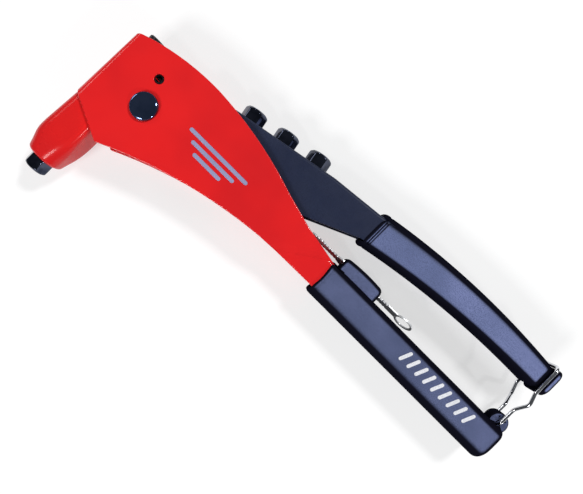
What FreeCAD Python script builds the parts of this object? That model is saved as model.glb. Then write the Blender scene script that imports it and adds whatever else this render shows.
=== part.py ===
import FreeCAD, Part
import os
import Sketcher
from math import acos, atan2, cos, pi, radians, sin, tan
from FreeCAD import Placement, Rotation, Vector

# Hand riveter, lying on its side. Millimetres.
# Origin: the mouth of the fitted nosepiece's bore, on the barrel axis, in the tool's mid-plane.
# -Y: the way the barrel points.  +X: from the barrel towards the handle ends.
# +Z: out of the side that carries the pivot pin's head.

doc = FreeCAD.newDocument("hand_riveter")
sheet = doc.addObject("Spreadsheet::Sheet", "dims")

DIMENSIONS = [
    # name, value, meaning
    ("frame_half", 12.25, "half width of the frame head over its side plates"),
    ("sheet_thick", 2.0, "thickness of the frame and lever sheet"),
    ("frame_shank_half", 8.6, "half width of the frame inside the lower grip"),
    ("spine_x", -7.2, "outer face of the frame's fold"),
    ("spine_front_y", 41.5, "front end of the fold"),
    ("spine_rear_y", 78.2, "rear end of the fold"),
    ("fold_r", 4.0, "outer radius of the fold"),
    ("fold_corner_r", 4.6, "rounding of the fold's rear corner, seen from the side"),
    ("joggle_x", 109.4, "middle of the crease where the head narrows"),
    ("joggle_y", 61.35, "middle of the crease where the head narrows"),
    ("joggle_run", 8.1, "distance between the two creases"),
    ("joggle_turn", -49.7, "direction of the narrowing, in degrees from +X"),
    ("pivot_x", 20.8, "handle pivot"),
    ("pivot_y", 57.2, "handle pivot"),
    ("pivot_r", 5.0, "pivot pin shank radius"),
    ("pivot_head_r", 6.6, "pivot pin head radius"),
    ("pivot_head_rise", 2.2, "pivot pin head height"),
    ("ring_r", 6.6, "pivot retaining ring radius"),
    ("ring_high", 1.6, "pivot retaining ring thickness"),
    ("washer_r", 8.0, "pivot washer radius"),
    ("stop_x", 16.7, "stop pin that ends the opening of the lever"),
    ("stop_y", 70.6, "stop pin that ends the opening of the lever"),
    ("stop_r", 2.25, "stop pin radius"),
    ("stop_bore_r", 1.1, "bore of the stop pin"),
    ("barrel_half", 9.8, "half width of the barrel along X"),
    ("barrel_depth_half", 10.2, "half width of the barrel along Z"),
    ("barrel_front_y", 6.6, "front face of the barrel"),
    ("barrel_taper_y", 16.5, "end of the barrel's taper"),
    ("barrel_rear_y", 40.3, "rear end of the barrel, between the side plates"),
    ("barrel_bore_r", 4.95, "bore that guides the jaw case"),
    ("hex_flats", 10.6, "nosepiece size across flats"),
    ("hex_high", 6.6, "nosepiece hexagon length"),
    ("thread_r", 3.9, "nosepiece thread radius"),
    ("thread_long", 4.2, "nosepiece thread length"),
    ("case_r", 4.9, "jaw case radius"),
    ("case_front_y", 28.2, "front end of the jaw case with the handles closed"),
    ("case_rear_y", 60.95, "rear face of the jaw case's flange"),
    ("nut_front_y", 67.85, "front face of the lock nut"),
    ("nut_high", 3.0, "lock nut length"),
    ("neck_r", 3.0, "mandrel tube radius between case and nut"),
    ("tube_r", 2.9, "mandrel tube radius behind the nut"),
    ("tube_bore_r", 1.7, "mandrel tube bore radius"),
    ("tube_end_y", 83.6, "rear end of the mandrel tube"),
    ("flare_r", 4.9, "radius of the mandrel tube's flared rear end"),
    ("flare_high", 3.2, "length of the mandrel tube's flared rear end"),
    ("drive_x", 1.07, "drive trunnion"),
    ("drive_y", 64.38, "drive trunnion"),
    ("drive_r", 3.0, "drive trunnion roller radius"),
    ("drive_pin_r", 2.4, "drive trunnion journal radius"),
    ("lever_half", 9.2, "half width of the lever channel"),
    ("lever_slope", 10.35, "angle of the spare nosepieces' line to X, in degrees"),
    ("grip_half", 10.2, "half width of the lower grip"),
    ("upper_grip_half", 10.4, "half width of the upper grip"),
    ("grip_start_x", 129.8, "front end of the lower grip"),
    ("grip_end_x", 241.3, "rear end of the lower grip"),
    ("grip_low_y", 50.2, "outer side of the lower grip"),
    ("grip_top_y", 67.9, "inner side of the lower grip"),
    ("sleeve_top_y", 75.0, "top of the key sleeve"),
    ("key_y", 71.0, "middle of the nosepiece key"),
    ("key_thick", 1.5, "nosepiece key thickness"),
    ("key_tilt", 17.0, "roll of the key about its length, in degrees"),
    ("hinge_x", 237.0, "clasp hinge in the grip's tab"),
    ("hinge_y", 69.4, "clasp hinge in the grip's tab"),
    ("wire_r", 0.9, "clasp wire radius"),
    ("bar_y", 106.1, "clasp bar behind the upper grip's lip"),
    ("groove_start_x", 232.3, "groove for the clasp wire"),
    ("groove_end_x", 237.6, "groove for the clasp wire"),
    ("lip_end_x", 240.5, "rear end of the upper grip"),
    ("spare_line_x", 49.0, "where the line of spare nosepieces starts, on the lever's upper edge"),
    ("spare_line_y", 85.57, "where the line of spare nosepieces starts, on the lever's upper edge"),
    ("spare_first", 8.0, "distance of the first spare nosepiece along that line"),
    ("spare_pitch", 18.2, "spacing of the spare nosepieces along the lever"),
]


class Size:
    """A number together with the spreadsheet expression that it comes from."""

    def __init__(self, value, text):
        self.value, self.text = value, text

    def _with(self, other, sign, swap=False):
        other = other if isinstance(other, Size) else Size(float(other), f"{float(other):.6f}")
        a, b = (other, self) if swap else (self, other)
        value = {"+": a.value + b.value, "-": a.value - b.value, "*": a.value * b.value}[sign]
        return Size(value, f"({a.text} {sign} {b.text})")

    def __add__(self, other):
        return self._with(other, "+")

    def __sub__(self, other):
        return self._with(other, "-")

    def __mul__(self, other):
        return self._with(other, "*")

    def __radd__(self, other):
        return self._with(other, "+", swap=True)

    def __rsub__(self, other):
        return self._with(other, "-", swap=True)

    def __rmul__(self, other):
        return self._with(other, "*", swap=True)

    def __neg__(self):
        return self * -1.0


def plain(number):
    """A fixed number as a Size."""
    return number if isinstance(number, Size) else Size(float(number), f"{float(number):.6f}")


class Dims:
    """The spreadsheet's dimensions, as attributes."""


d = Dims()
for row, (name, value, meaning) in enumerate(DIMENSIONS, start=1):
    sheet.set(f"A{row}", meaning)
    sheet.set(f"B{row}", str(value))
    sheet.setAlias(f"B{row}", name)
    setattr(d, name, Size(value, f"dims.{name}"))
doc.recompute()

pieces = []


def bind(thing, prop, size):
    thing.setExpression(prop, plain(size).text)


def new_body(name):
    body = doc.addObject("PartDesign::Body", name)
    body.Label = name
    pieces.append(body)
    return body


def origin_plane(body, role):
    return [f for f in body.Origin.OriginFeatures if f.Role == role][0]


def fix_point(sketch, geometry, point, x, y):
    """Ties a sketch point to the sketch's origin by its two coordinates."""
    for kind, size, axis in (("DistanceX", plain(x), -2), ("DistanceY", plain(y), -1)):
        if abs(size.value) < 1e-9:
            sketch.addConstraint(Sketcher.Constraint("PointOnObject", geometry, point, axis))
            continue
        ends = (-1, 1, geometry, point) if size.value > 0 else (geometry, point, -1, 1)
        number = sketch.addConstraint(Sketcher.Constraint(kind, *ends, abs(size.value)))
        sketch.setExpression(f"Constraints[{number}]", (size if size.value > 0 else -size).text)


def fix_radius(sketch, geometry, radius):
    number = sketch.addConstraint(Sketcher.Constraint("Radius", geometry, abs(radius.value)))
    sketch.setExpression(f"Constraints[{number}]", (radius if radius.value > 0 else -radius).text)


def arc_between(a, b, radius):
    """The arc from a to b: anticlockwise for a radius above 0, clockwise below 0."""
    start, end = (a, b) if radius > 0 else (b, a)
    chord = end - start
    half = chord.Length / 2
    lift = (radius * radius - half * half) ** 0.5
    centre = (start + end) / 2 + Vector(-chord.y, chord.x, 0).normalize() * lift
    angles = [atan2(p.y - centre.y, p.x - centre.x) for p in (start, end)]
    circle = Part.Circle(centre, Vector(0, 0, 1), abs(radius))
    return Part.ArcOfCircle(circle, *angles)


def add_loop(sketch, corners):
    """A closed outline. A corner is (x, y), or (x, y, r) where an arc of radius r leaves it."""
    points = [Vector(plain(c[0]).value, plain(c[1]).value, 0) for c in corners]
    ends = []
    for i, corner in enumerate(corners):
        a, b = points[i], points[(i + 1) % len(corners)]
        if len(corner) == 2:
            number = sketch.addGeometry(Part.LineSegment(a, b), False)
            ends.append((number, 1, 2))
        else:
            radius = plain(corner[2])
            number = sketch.addGeometry(arc_between(a, b, radius.value), False)
            ends.append((number, 1, 2) if radius.value > 0 else (number, 2, 1))
    for i, (number, _, last) in enumerate(ends):
        other, first, _ = ends[(i + 1) % len(ends)]
        sketch.addConstraint(Sketcher.Constraint("Coincident", number, last, other, first))
    for (number, first, _), corner in zip(ends, corners):
        fix_point(sketch, number, first, corner[0], corner[1])
        if len(corner) == 3:
            fix_radius(sketch, number, plain(corner[2]))


def add_circle(sketch, x, y, radius):
    centre = Vector(plain(x).value, plain(y).value, 0)
    number = sketch.addGeometry(Part.Circle(centre, Vector(0, 0, 1), plain(radius).value), False)
    fix_point(sketch, number, 3, x, y)
    fix_radius(sketch, number, plain(radius))


def sketch_on(body, role, loops=(), circles=(), lift=None):
    """A sketch on one of the body's own origin planes, raised along the plane's normal."""
    sketch = body.newObject("Sketcher::SketchObject", body.Name + "_sketch")
    sketch.AttachmentSupport = (origin_plane(body, role), [""])
    sketch.MapMode = "FlatFace"
    if lift is not None:
        bind(sketch, "AttachmentOffset.Base.z", lift)
    for corners in loops:
        add_loop(sketch, corners)
    for circle in circles:
        add_circle(sketch, *circle)
    return sketch


def feature(body, kind, sketch, length, both_ways=True, backwards=False):
    """A pad or a pocket of the sketch."""
    made = body.newObject(f"PartDesign::{kind}", body.Name + "_" + kind.lower())
    made.Profile = sketch
    made.SideType = "Symmetric" if both_ways else "One side"
    made.Reversed = backwards
    bind(made, "Length", length)
    doc.recompute()
    return made


def pad(body, sketch, length, **how):
    return feature(body, "Pad", sketch, length, **how)


def pocket(body, sketch, length, **how):
    before = body.Shape.Volume
    made = feature(body, "Pocket", sketch, length, **how)
    if body.Shape.Volume > before - 1e-3:
        raise RuntimeError(f"a pocket of {body.Label} cuts nothing")
    return made


def turned(body, sketch, angle=360.0):
    """A revolution about the sketch's vertical axis."""
    made = body.newObject("PartDesign::Revolution", body.Name + "_turned")
    made.Profile = sketch
    made.ReferenceAxis = (sketch, ["V_Axis"])
    made.Angle = angle
    doc.recompute()
    return made


def round_edges(body, radius, chosen, kind="Fillet"):
    """Rounds or chamfers the edges of the body for which chosen(edge) is true."""
    base = body.Tip
    names = [f"Edge{i}" for i, e in enumerate(base.Shape.Edges, start=1) if chosen(e)]
    made = body.newObject(f"PartDesign::{kind}", body.Name + "_" + kind.lower())
    made.Base = (base, names)
    bind(made, "Radius" if kind == "Fillet" else "Size", radius)
    doc.recompute()
    return made


def bounds_inside(edge, low, high, slack=0.02):
    """Does the whole edge lie inside the box from low to high? None leaves a side open."""
    box = edge.BoundBox
    least, most = (box.XMin, box.YMin, box.ZMin), (box.XMax, box.YMax, box.ZMax)
    for axis in range(3):
        if low[axis] is not None and least[axis] < low[axis] - slack:
            return False
        if high[axis] is not None and most[axis] > high[axis] + slack:
            return False
    return True


def at_width(edge, half, slack=0.02):
    """Does the edge lie in one of the two planes z = half and z = -half?"""
    box = edge.BoundBox
    return box.ZLength < slack and abs(abs(box.ZMin) - half) < slack


def place(thing, x=0, y=0, z=0, axis=(0, 0, 1), angle=0.0):
    thing.Placement = Placement(Vector(0, 0, 0), Rotation(Vector(*axis), angle))
    for letter, size in (("x", x), ("y", y), ("z", z)):
        bind(thing, f"Placement.Base.{letter}", size)


# ---------------------------------------------------------------- frame
# One folded sheet: two side plates joined by the fold along the barrel side and by a web
# along the outer side of the lower handle. The mechanism sits in the open head.

LOWER_WEB_X = 74.0  # where the web along the outer side begins
SHANK_END_X = 236.0
PLATE_EDGE = [
    (d.spine_x, d.spine_front_y),
    (15.8, 30.3, -243.0),
    (98.5, 52.6),
    (107.6, 53.0),
    (128.0, 53.26),
    (131.0, 53.2),
    (SHANK_END_X, 52.0),
    (SHANK_END_X, 65.9),
    (134.0, 67.1),
    (112.0, 70.9),
    (94.5, 75.6, 200.0),
    (39.8, 86.0, 124.0),
    (d.spine_x, d.spine_rear_y),
]


def make_frame():
    body = new_body("body_frame")
    pad(body, sketch_on(body, "XY_Plane", [PLATE_EDGE]), d.frame_half * 2)
    outer_fold = lambda e: at_width(e, d.frame_half.value) and bounds_inside(
        e, (None, None, None), (d.spine_x.value, None, None))
    round_edges(body, d.fold_r, outer_fold)
    round_fold_corner(body)
    narrow_shank(body)
    inner = d.spine_x + d.sheet_thick
    # The pockets clear the space between the plates, first in the head, then in the shank.
    head = [(inner, 20.0), (LOWER_WEB_X, 20.0), (LOWER_WEB_X, 52.4), (100.3, 56.2),
            (122.0, 76.0), (122.0, 95.0), (inner, 95.0)]
    pocket(body, sketch_on(body, "XY_Plane", [head]), (d.frame_half - d.sheet_thick) * 2)
    shank = [(LOWER_WEB_X + 6.0, 55.2), (131.0, 55.2), (SHANK_END_X - 2.0, 54.1),
             (SHANK_END_X - 2.0, 90.0), (LOWER_WEB_X + 6.0, 90.0)]
    pocket(body, sketch_on(body, "XY_Plane", [shank]), (d.frame_shank_half - d.sheet_thick) * 2)
    holes = [(d.pivot_x, d.pivot_y, d.pivot_r), (d.stop_x, d.stop_y, d.stop_r)]
    pocket(body, sketch_on(body, "XY_Plane", circles=holes), d.frame_half * 4)


def round_fold_corner(body):
    """Rounds the rear corner of the fold, as seen from the side."""
    r, outside = d.fold_corner_r, 1.2
    start_y = d.spine_rear_y - r * 0.70
    end_x, end_y = d.spine_x + r * 0.65, d.spine_rear_y + r * 0.24
    corner = [(d.spine_x - outside, start_y), (d.spine_x, start_y, -r), (end_x, end_y),
              (end_x - 0.4, end_y + outside), (d.spine_x - outside, end_y + outside)]
    pocket(body, sketch_on(body, "XY_Plane", [corner]), d.frame_half * 4)


def narrow_shank(body):
    """Takes both side plates down to the shank's width, over a slope between two creases."""
    reach = 150.0
    outside = d.frame_half + 1.0
    side = [(0, d.frame_half), (d.joggle_run, d.frame_shank_half), (reach, d.frame_shank_half),
            (reach, outside), (0, outside)]
    other = [(x, -plain(y)) for x, y in reversed(side)]
    sketch = sketch_on(body, "XZ_Plane", [side, other])
    sketch.AttachmentOffset = Placement(
        Vector(0, 0, 0), Rotation(Vector(0, 1, 0), d.joggle_turn.value))
    bind(sketch, "AttachmentOffset.Base.x", d.joggle_x)
    bind(sketch, "AttachmentOffset.Base.z", -d.joggle_y)
    pocket(body, sketch, 400.0)


# ---------------------------------------------------------------- barrel and nosepieces

def rounded_section(low_x, high_x, half_z, r):
    """A rectangle from low_x to high_x with rounded corners."""
    low, high, z = plain(low_x), plain(high_x), plain(half_z)
    return [(low + r, -z), (high - r, -z, r), (high, r - z), (high, z - r, r),
            (high - r, z), (low + r, z, r), (low, z - r), (low, r - z, r)]


def ruled_loft(body, name, sections):
    """A straight-sided solid through (outline, distance behind the origin) sections."""
    sketches = [sketch_on(body, "XZ_Plane", [outline], lift=-plain(y)) for outline, y in sections]
    loft = body.newObject("PartDesign::AdditiveLoft", name)
    loft.Profile = sketches[0]
    loft.Sections = sketches[1:]
    loft.Ruled = True
    doc.recompute()


def make_barrel():
    """A casting with a rounded square section that narrows a little to the rear and more to
    the front. Its rear end fits between the side plates."""
    body = new_body("barrel")
    corner, rear_in, front_half = 5.0, 1.8, 7.9
    half, depth = d.barrel_half, d.barrel_depth_half
    widest = rounded_section(-half, half, depth, corner)
    rear = rounded_section(rear_in - half, half, depth, corner)
    front = rounded_section(-front_half, front_half, front_half, corner)
    ruled_loft(body, "barrel_block", [(rear, d.barrel_rear_y), (widest, d.barrel_taper_y)])
    ruled_loft(body, "barrel_taper", [(widest, d.barrel_taper_y), (front, d.barrel_front_y)])
    rim = lambda e: e.BoundBox.YLength < 0.01 and abs(
        e.BoundBox.YMin - d.barrel_front_y.value) < 0.01
    round_edges(body, 1.0, rim)
    seat_deep = 4.2
    bore = sketch_on(body, "XZ_Plane", circles=[(0, 0, d.barrel_bore_r)], lift=-d.barrel_rear_y)
    pocket(body, bore, d.barrel_rear_y - d.barrel_front_y - seat_deep, both_ways=False,
           backwards=True)
    thread = sketch_on(body, "XZ_Plane", circles=[(0, 0, d.thread_r)], lift=-d.barrel_front_y)
    pocket(body, thread, 10.0, both_ways=False)


def make_nosepiece(name, bore_r, tail):
    """A hexagonal nosepiece that points along -Y with its mouth at the origin: chamfered
    hexagon, thread, and a plain tail behind the thread."""
    body = new_body(name)
    corner = d.hex_flats * (1 / 3 ** 0.5)
    half = corner * 0.5
    flat = d.hex_flats * 0.5
    hexagon = [(-corner, 0), (-half, -flat), (half, -flat), (corner, 0), (half, flat),
               (-half, flat)]
    pad(body, sketch_on(body, "XZ_Plane", [hexagon]), d.hex_high, both_ways=False,
        backwards=True)
    # The chamfers take off what lies outside a cone at each end of the hexagon.
    mouth = 4.4
    beyond = corner + 1.0
    slope = (beyond - mouth) * 0.75
    waste = [(mouth, 0), (beyond, slope), (beyond, -1.0), (mouth, -1.0)]
    cut = body.newObject("PartDesign::Groove", name + "_chamfer")
    cut.Profile = sketch_on(body, "XY_Plane", [waste])
    cut.ReferenceAxis = (cut.Profile[0], ["V_Axis"])
    cut.Angle = 360.0
    doc.recompute()
    thread_r, thread_end = d.thread_r - 0.05, d.hex_high + d.thread_long
    stub = [(0, d.hex_high), (thread_r, d.hex_high), (thread_r, thread_end)]
    if tail:
        stub += [(3.0, thread_end), (2.6, thread_end + tail), (0, thread_end + tail)]
    else:
        stub += [(0, thread_end)]
    turned(body, sketch_on(body, "XY_Plane", [stub]))
    hole = sketch_on(body, "XZ_Plane", circles=[(0, 0, bore_r)])
    pocket(body, hole, 60.0)
    return body


def spare_seat(number):
    """Where spare nosepiece number, from 0, stands on the lever's upper edge."""
    slope = radians(d.lever_slope.value)
    along = d.spare_first + plain(number) * d.spare_pitch
    return d.spare_line_x + along * cos(slope), d.spare_line_y + along * sin(slope)


def make_nosepieces():
    make_nosepiece("nosepiece_fitted", 1.2, 3.0)
    slope = radians(d.lever_slope.value)
    for number, bore_r in enumerate((1.0, 1.5, 1.75)):
        spare = make_nosepiece(f"spare_nosepiece_{number + 1}", bore_r, 0)
        # The foot of each hexagon stands on the lever's upper face, and its thread goes in.
        seat_x, seat_y = spare_seat(number)
        mouth_x, mouth_y = seat_x - d.hex_high * sin(slope), seat_y + d.hex_high * cos(slope)
        place(spare, mouth_x, mouth_y, 0, angle=180.0 + d.lever_slope.value)


# ---------------------------------------------------------------- lever
# A channel whose web is on its outer side. Its two cheeks reach round the jaw case and
# carry the drive trunnions.

CORE_END_X = 231.0
LEVER_EDGE = [
    (-2.2, 67.4, 4.6),
    (0.5, 59.85),
    (13.0, 52.7, 9.0),
    (25.5, 49.5),
    (100.0, 70.5),
    (131.0, 84.3, -455.0),
    (CORE_END_X, 93.0),
    (CORE_END_X, 103.8, 385.0),
    (131.0, 98.5),
    (130.0, 98.3),
    (104.0, 95.6),
    (45.9, 85.0),
    (26.0, 66.2),
    (18.0, 66.3, 9.6),
    (14.0, 63.2),
]


def make_lever():
    body = new_body("lever")
    pad(body, sketch_on(body, "XY_Plane", [LEVER_EDGE]), d.lever_half * 2)
    web = 2.0
    # The pocket under the web runs past the channel's open rear end.
    open_x = CORE_END_X + 1.5
    below = [(-20.0, 30.0), (open_x, 30.0), (open_x, 103.8 - web, 385.0 - web),
             (131.2, 98.5 - web), (104.2, 95.6 - web), (47.0, 85.0 - web), (40.0, 95.0),
             (-20.0, 95.0)]
    pocket(body, sketch_on(body, "XY_Plane", [below]), (d.lever_half - d.sheet_thick) * 2)
    holes = [(d.pivot_x, d.pivot_y, d.pivot_r + 0.05), (d.drive_x, d.drive_y, d.drive_pin_r)]
    pocket(body, sketch_on(body, "XY_Plane", circles=holes), d.lever_half * 4)
    for number in range(3):
        seat_x, seat_y = spare_seat(number)
        hole = body.newObject("Sketcher::SketchObject", "lever_spare_hole")
        hole.AttachmentSupport = (origin_plane(body, "XZ_Plane"), [""])
        hole.MapMode = "FlatFace"
        hole.AttachmentOffset = Placement(
            Vector(0, 0, 0), Rotation(Vector(0, 1, 0), d.lever_slope.value))
        bind(hole, "AttachmentOffset.Base.x", seat_x)
        bind(hole, "AttachmentOffset.Base.z", -seat_y)
        add_circle(hole, 0, 0, d.thread_r)
        pocket(body, hole, 8.0)


# ---------------------------------------------------------------- pivot and drive

def turned_piece(name, profile, axis="Z"):
    """A piece turned about Z or about the barrel axis, from (radius, height) corners."""
    body = new_body(name)
    turned(body, sketch_on(body, "XZ_Plane" if axis == "Z" else "XY_Plane", [profile]))
    return body


def make_pivot():
    half, head_r = d.frame_half, d.pivot_head_r
    low = -(half + d.ring_high)
    rise = half + d.pivot_head_rise
    shank = d.pivot_r - 0.01
    pin = turned_piece("pivot_pin", [
        (0, low - 0.8), (3.2, low - 0.8), (3.8, low), (shank, low), (shank, half), (head_r, half),
        (head_r, rise - 0.9), (head_r - 0.9, rise), (0, rise)])
    place(pin, d.pivot_x, d.pivot_y)
    ring = turned_piece("pivot_retaining_ring", [
        (d.pivot_r, low), (d.ring_r - 0.4, low), (d.ring_r, low + 0.4), (d.ring_r, -half),
        (d.pivot_r, -half)])
    place(ring, d.pivot_x, d.pivot_y)
    for name, side in (("pivot_washer_near", 1), ("pivot_washer_far", -1)):
        inner, outer = d.lever_half + 0.05, d.frame_half - d.sheet_thick
        low, high = (inner, outer) if side > 0 else (-outer, -inner)
        washer = turned_piece(name, [
            (d.pivot_r, low), (d.washer_r, low), (d.washer_r, high), (d.pivot_r, high)])
        place(washer, d.pivot_x, d.pivot_y)
    end, tip_r, outer_r, bore_r = half + 0.3, d.stop_r - 0.5, d.stop_r - 0.01, d.stop_bore_r
    pin = turned_piece("stop_pin", [
        (bore_r, -end), (tip_r, -end), (outer_r, 0.5 - end), (outer_r, end - 0.5), (tip_r, end),
        (bore_r, end)])
    place(pin, d.stop_x, d.stop_y)
    for name, side in (("drive_trunnion_near", 1), ("drive_trunnion_far", -1)):
        inside, cheek, outside = 3.4, d.lever_half - d.sheet_thick - 0.05, d.lever_half
        levels = [(0, inside), (d.drive_r - 0.4, inside), (d.drive_r, inside + 0.4),
                  (d.drive_r, cheek), (d.drive_pin_r, cheek), (d.drive_pin_r, outside),
                  (0, outside)]
        if side < 0:
            levels = [(r, -plain(z)) for r, z in reversed(levels)]
        place(turned_piece(name, levels), d.drive_x, d.drive_y)


# ---------------------------------------------------------------- pulling head

CONE_MOUTH_R, CONE_WIDE_R, CONE_HIGH = 2.4, 3.9, 12.3


def make_pulling_head():
    front, rear, r = d.case_front_y, d.case_rear_y, d.case_r
    cavity_end = rear - 5.0
    turned_piece("jaw_case", [
        (CONE_MOUTH_R, front), (r - 1.5, front), (r, front + 2.2), (r, rear - 0.4),
        (r - 0.4, rear), (d.neck_r, rear), (d.neck_r, cavity_end), (CONE_WIDE_R, cavity_end),
        (CONE_WIDE_R, front + 1.5 + CONE_HIGH), (CONE_MOUTH_R, front + 1.5)], axis="Y")
    nut_front, nut_rear = d.nut_front_y, d.nut_front_y + d.nut_high
    turned_piece("lock_nut", [
        (d.neck_r, nut_front), (r - 0.5, nut_front), (r, nut_front + 0.5), (r, nut_rear - 0.5),
        (r - 0.5, nut_rear), (d.neck_r, nut_rear)], axis="Y")
    bore, neck_r, tube_r, tube_end = d.tube_bore_r, d.neck_r - 0.01, d.tube_r, d.tube_end_y
    flare_r, flare_y = d.flare_r, d.tube_end_y - d.flare_high
    turned_piece("mandrel_tube", [
        (bore, cavity_end), (neck_r, cavity_end), (neck_r, nut_rear + 1.0),
        (tube_r, nut_rear + 1.8), (tube_r, flare_y - 1.2), (flare_r, flare_y),
        (flare_r, tube_end - 0.5), (flare_r - 0.5, tube_end), (bore, tube_end)], axis="Y")


def make_jaws():
    front = d.case_front_y + 1.8
    slope = (CONE_WIDE_R - CONE_MOUTH_R) / CONE_HIGH
    gap = 0.12
    length = 11.6
    nose_r = CONE_MOUTH_R + 0.3 * slope - gap
    rear_r = nose_r + length * slope
    for name, turn in (("jaw_near", 3.0), ("jaw_far", 183.0)):
        profile = [(1.15, front + 1.0), (1.9, front), (nose_r, front), (rear_r, front + length),
                   (1.15, front + length)]
        body = new_body(name)
        turned(body, sketch_on(body, "XY_Plane", [profile]), angle=174.0)
        place(body, axis=(0, 1, 0), angle=turn)
    rear = front + length + 0.05
    turned_piece("jaw_pusher", [
        (1.6, rear), (3.4, rear), (3.7, rear + 1.5), (3.7, rear + 4.0), (2.5, rear + 4.0),
        (2.5, rear + 6.5), (1.6, rear + 6.5)], axis="Y")
    make_spring(rear + 4.0)


def make_spring(start):
    """The spring between the jaw pusher and the end of the jaw case's cavity."""
    wire_r, coil_r, turns = 0.45, 3.1, 7
    end = d.case_rear_y - 5.0
    helix = doc.addObject("Part::Helix", "spring_path")
    bind(helix, "Height", end - start - 2 * wire_r - 0.2)
    bind(helix, "Pitch", (end - start - 2 * wire_r - 0.2) * (1 / turns))
    helix.Radius = coil_r
    section = doc.addObject("Part::Circle", "spring_section")
    section.Radius = wire_r
    section.Placement = Placement(Vector(coil_r, 0, 0), Rotation(Vector(1, 0, 0), 90))
    spring = doc.addObject("Part::Sweep", "jaw_spring")
    spring.Label = "jaw_spring"
    spring.Sections, spring.Spine = [section], (helix, [])
    spring.Solid, spring.Frenet = True, True
    place(spring, 0, start + wire_r + 0.1, 0, axis=(1, 0, 0), angle=-90.0)
    pieces.append(spring)


# ---------------------------------------------------------------- grips

def long_edges(half, low_x, high_x, above=None, below=None):
    """Picks the long edges of a grip's two flat sides, above or below a height."""
    def chosen(edge):
        middle = edge.CenterOfMass
        return (at_width(edge, half) and edge.Length > 40.0
                and bounds_inside(edge, (low_x, None, None), (high_x, None, None))
                and (above is None or middle.y > above) and (below is None or middle.y < below))
    return chosen


def make_lower_grip():
    body = new_body("lower_grip")
    start, end, low, top = d.grip_start_x, d.grip_end_x, d.grip_low_y, d.grip_top_y
    edge = [(start, low + 1.0), (start + 1.5, low - 0.3), (end - 4.0, low), (end, low + 4.5, 60.0),
            (end - 1.2, top - 2.0), (end - 3.2, top), (start + 4.0, top + 0.3), (start, top + 0.1)]
    pad(body, sketch_on(body, "XY_Plane", [edge]), d.grip_half * 2)
    outer = long_edges(d.grip_half.value, 128.0, 245.0, below=55.0)
    round_edges(body, 4.0, outer)
    inner = long_edges(d.grip_half.value, 128.0, 245.0, above=60.0)
    round_edges(body, 2.2, inner)
    sleeve = [(start + 4.0, top - 1.5), (156.0, top - 1.5), (156.4, 72.5), (155.0, 74.3),
              (147.0, d.sleeve_top_y + 0.1), (139.0, d.sleeve_top_y - 0.2), (start + 4.0, 74.0)]
    sleeve_wide, tab_r, tab_wide = 15.6, 5.0, 7.4
    pad(body, sketch_on(body, "XY_Plane", [sleeve]), sleeve_wide)
    tab = sketch_on(body, "XY_Plane", circles=[(d.hinge_x, d.hinge_y, tab_r)])
    pad(body, tab, tab_wide)
    core = [(start - 2.0, 53.25), (131.0, 53.2), (SHANK_END_X, 52.0), (SHANK_END_X, 65.9),
            (134.0, 67.1), (start - 2.0, 67.1 + (134.0 + 2.0 - start) * (3.8 / 22.0))]
    pocket(body, sketch_on(body, "XY_Plane", [core]), d.frame_shank_half * 2)
    rib_half = d.frame_shank_half - d.sheet_thick - 0.05
    rib = [(132.0, 55.4), (SHANK_END_X - 2.1, 54.3), (SHANK_END_X - 2.1, 66.2), (132.0, 67.6)]
    pad(body, sketch_on(body, "XY_Plane", [rib]), rib_half * 2)
    slot_half, slot_deep = 5.8, 2.1
    slot = [(d.key_y - slot_deep, -slot_half), (d.key_y + slot_deep, -slot_half),
            (d.key_y + slot_deep, slot_half), (d.key_y - slot_deep, slot_half)]
    cut = sketch_on(body, "YZ_Plane", [slot], lift=start)
    pocket(body, cut, 40.0, both_ways=False, backwards=True)
    hole = sketch_on(body, "XY_Plane", circles=[(d.hinge_x, d.hinge_y, d.wire_r + 0.1)])
    pocket(body, hole, 30.0)


def make_upper_grip():
    body = new_body("upper_grip")
    half = d.upper_grip_half
    end = d.lip_end_x
    edge = [(131.2, 82.6), (133.5, 82.4, -455.0), (d.groove_start_x, 91.4), (end - 2.6, 91.5),
            (end - 0.4, 93.6), (end, 99.5), (end - 0.8, 104.6), (end - 2.4, 106.2),
            (d.groove_start_x, 105.4, 385.0), (132.0, 101.4), (130.6, 99.3)]
    pad(body, sketch_on(body, "XY_Plane", [edge]), half * 2)
    core = [(128.0, 82.9), (131.0, 84.3, -455.0), (CORE_END_X, 93.0), (CORE_END_X, 103.8, 385.0),
            (131.0, 98.5), (128.0, 98.05)]
    pocket(body, sketch_on(body, "XY_Plane", [core]), d.lever_half * 2)
    web, clear = 2.0, 0.1
    rib = [(133.0, 84.0, -455.0), (CORE_END_X - clear, 92.5),
           (CORE_END_X - clear, 103.8 - web - clear, 385.0 - web), (133.0, 98.6 - web - clear)]
    pad(body, sketch_on(body, "XY_Plane", [rib]), (d.lever_half - d.sheet_thick - 0.05) * 2)
    # The groove takes off everything outside the neck.
    neck_half, neck_low, neck_top, out = half - 1.5, 93.0, d.bar_y - d.wire_r - 0.3, half + 2.0
    ring = [(85.0, -out), (112.0, -out), (112.0, out), (85.0, out)]
    cut = 2.0
    neck = [(neck_low, -neck_half), (neck_top - cut, -neck_half), (neck_top, cut - neck_half),
            (neck_top, neck_half - cut), (neck_top - cut, neck_half), (neck_low, neck_half)]
    groove = sketch_on(body, "YZ_Plane", [ring, neck], lift=d.groove_start_x)
    pocket(body, groove, d.groove_end_x - d.groove_start_x, both_ways=False, backwards=True)


# ---------------------------------------------------------------- clasp and key

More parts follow.
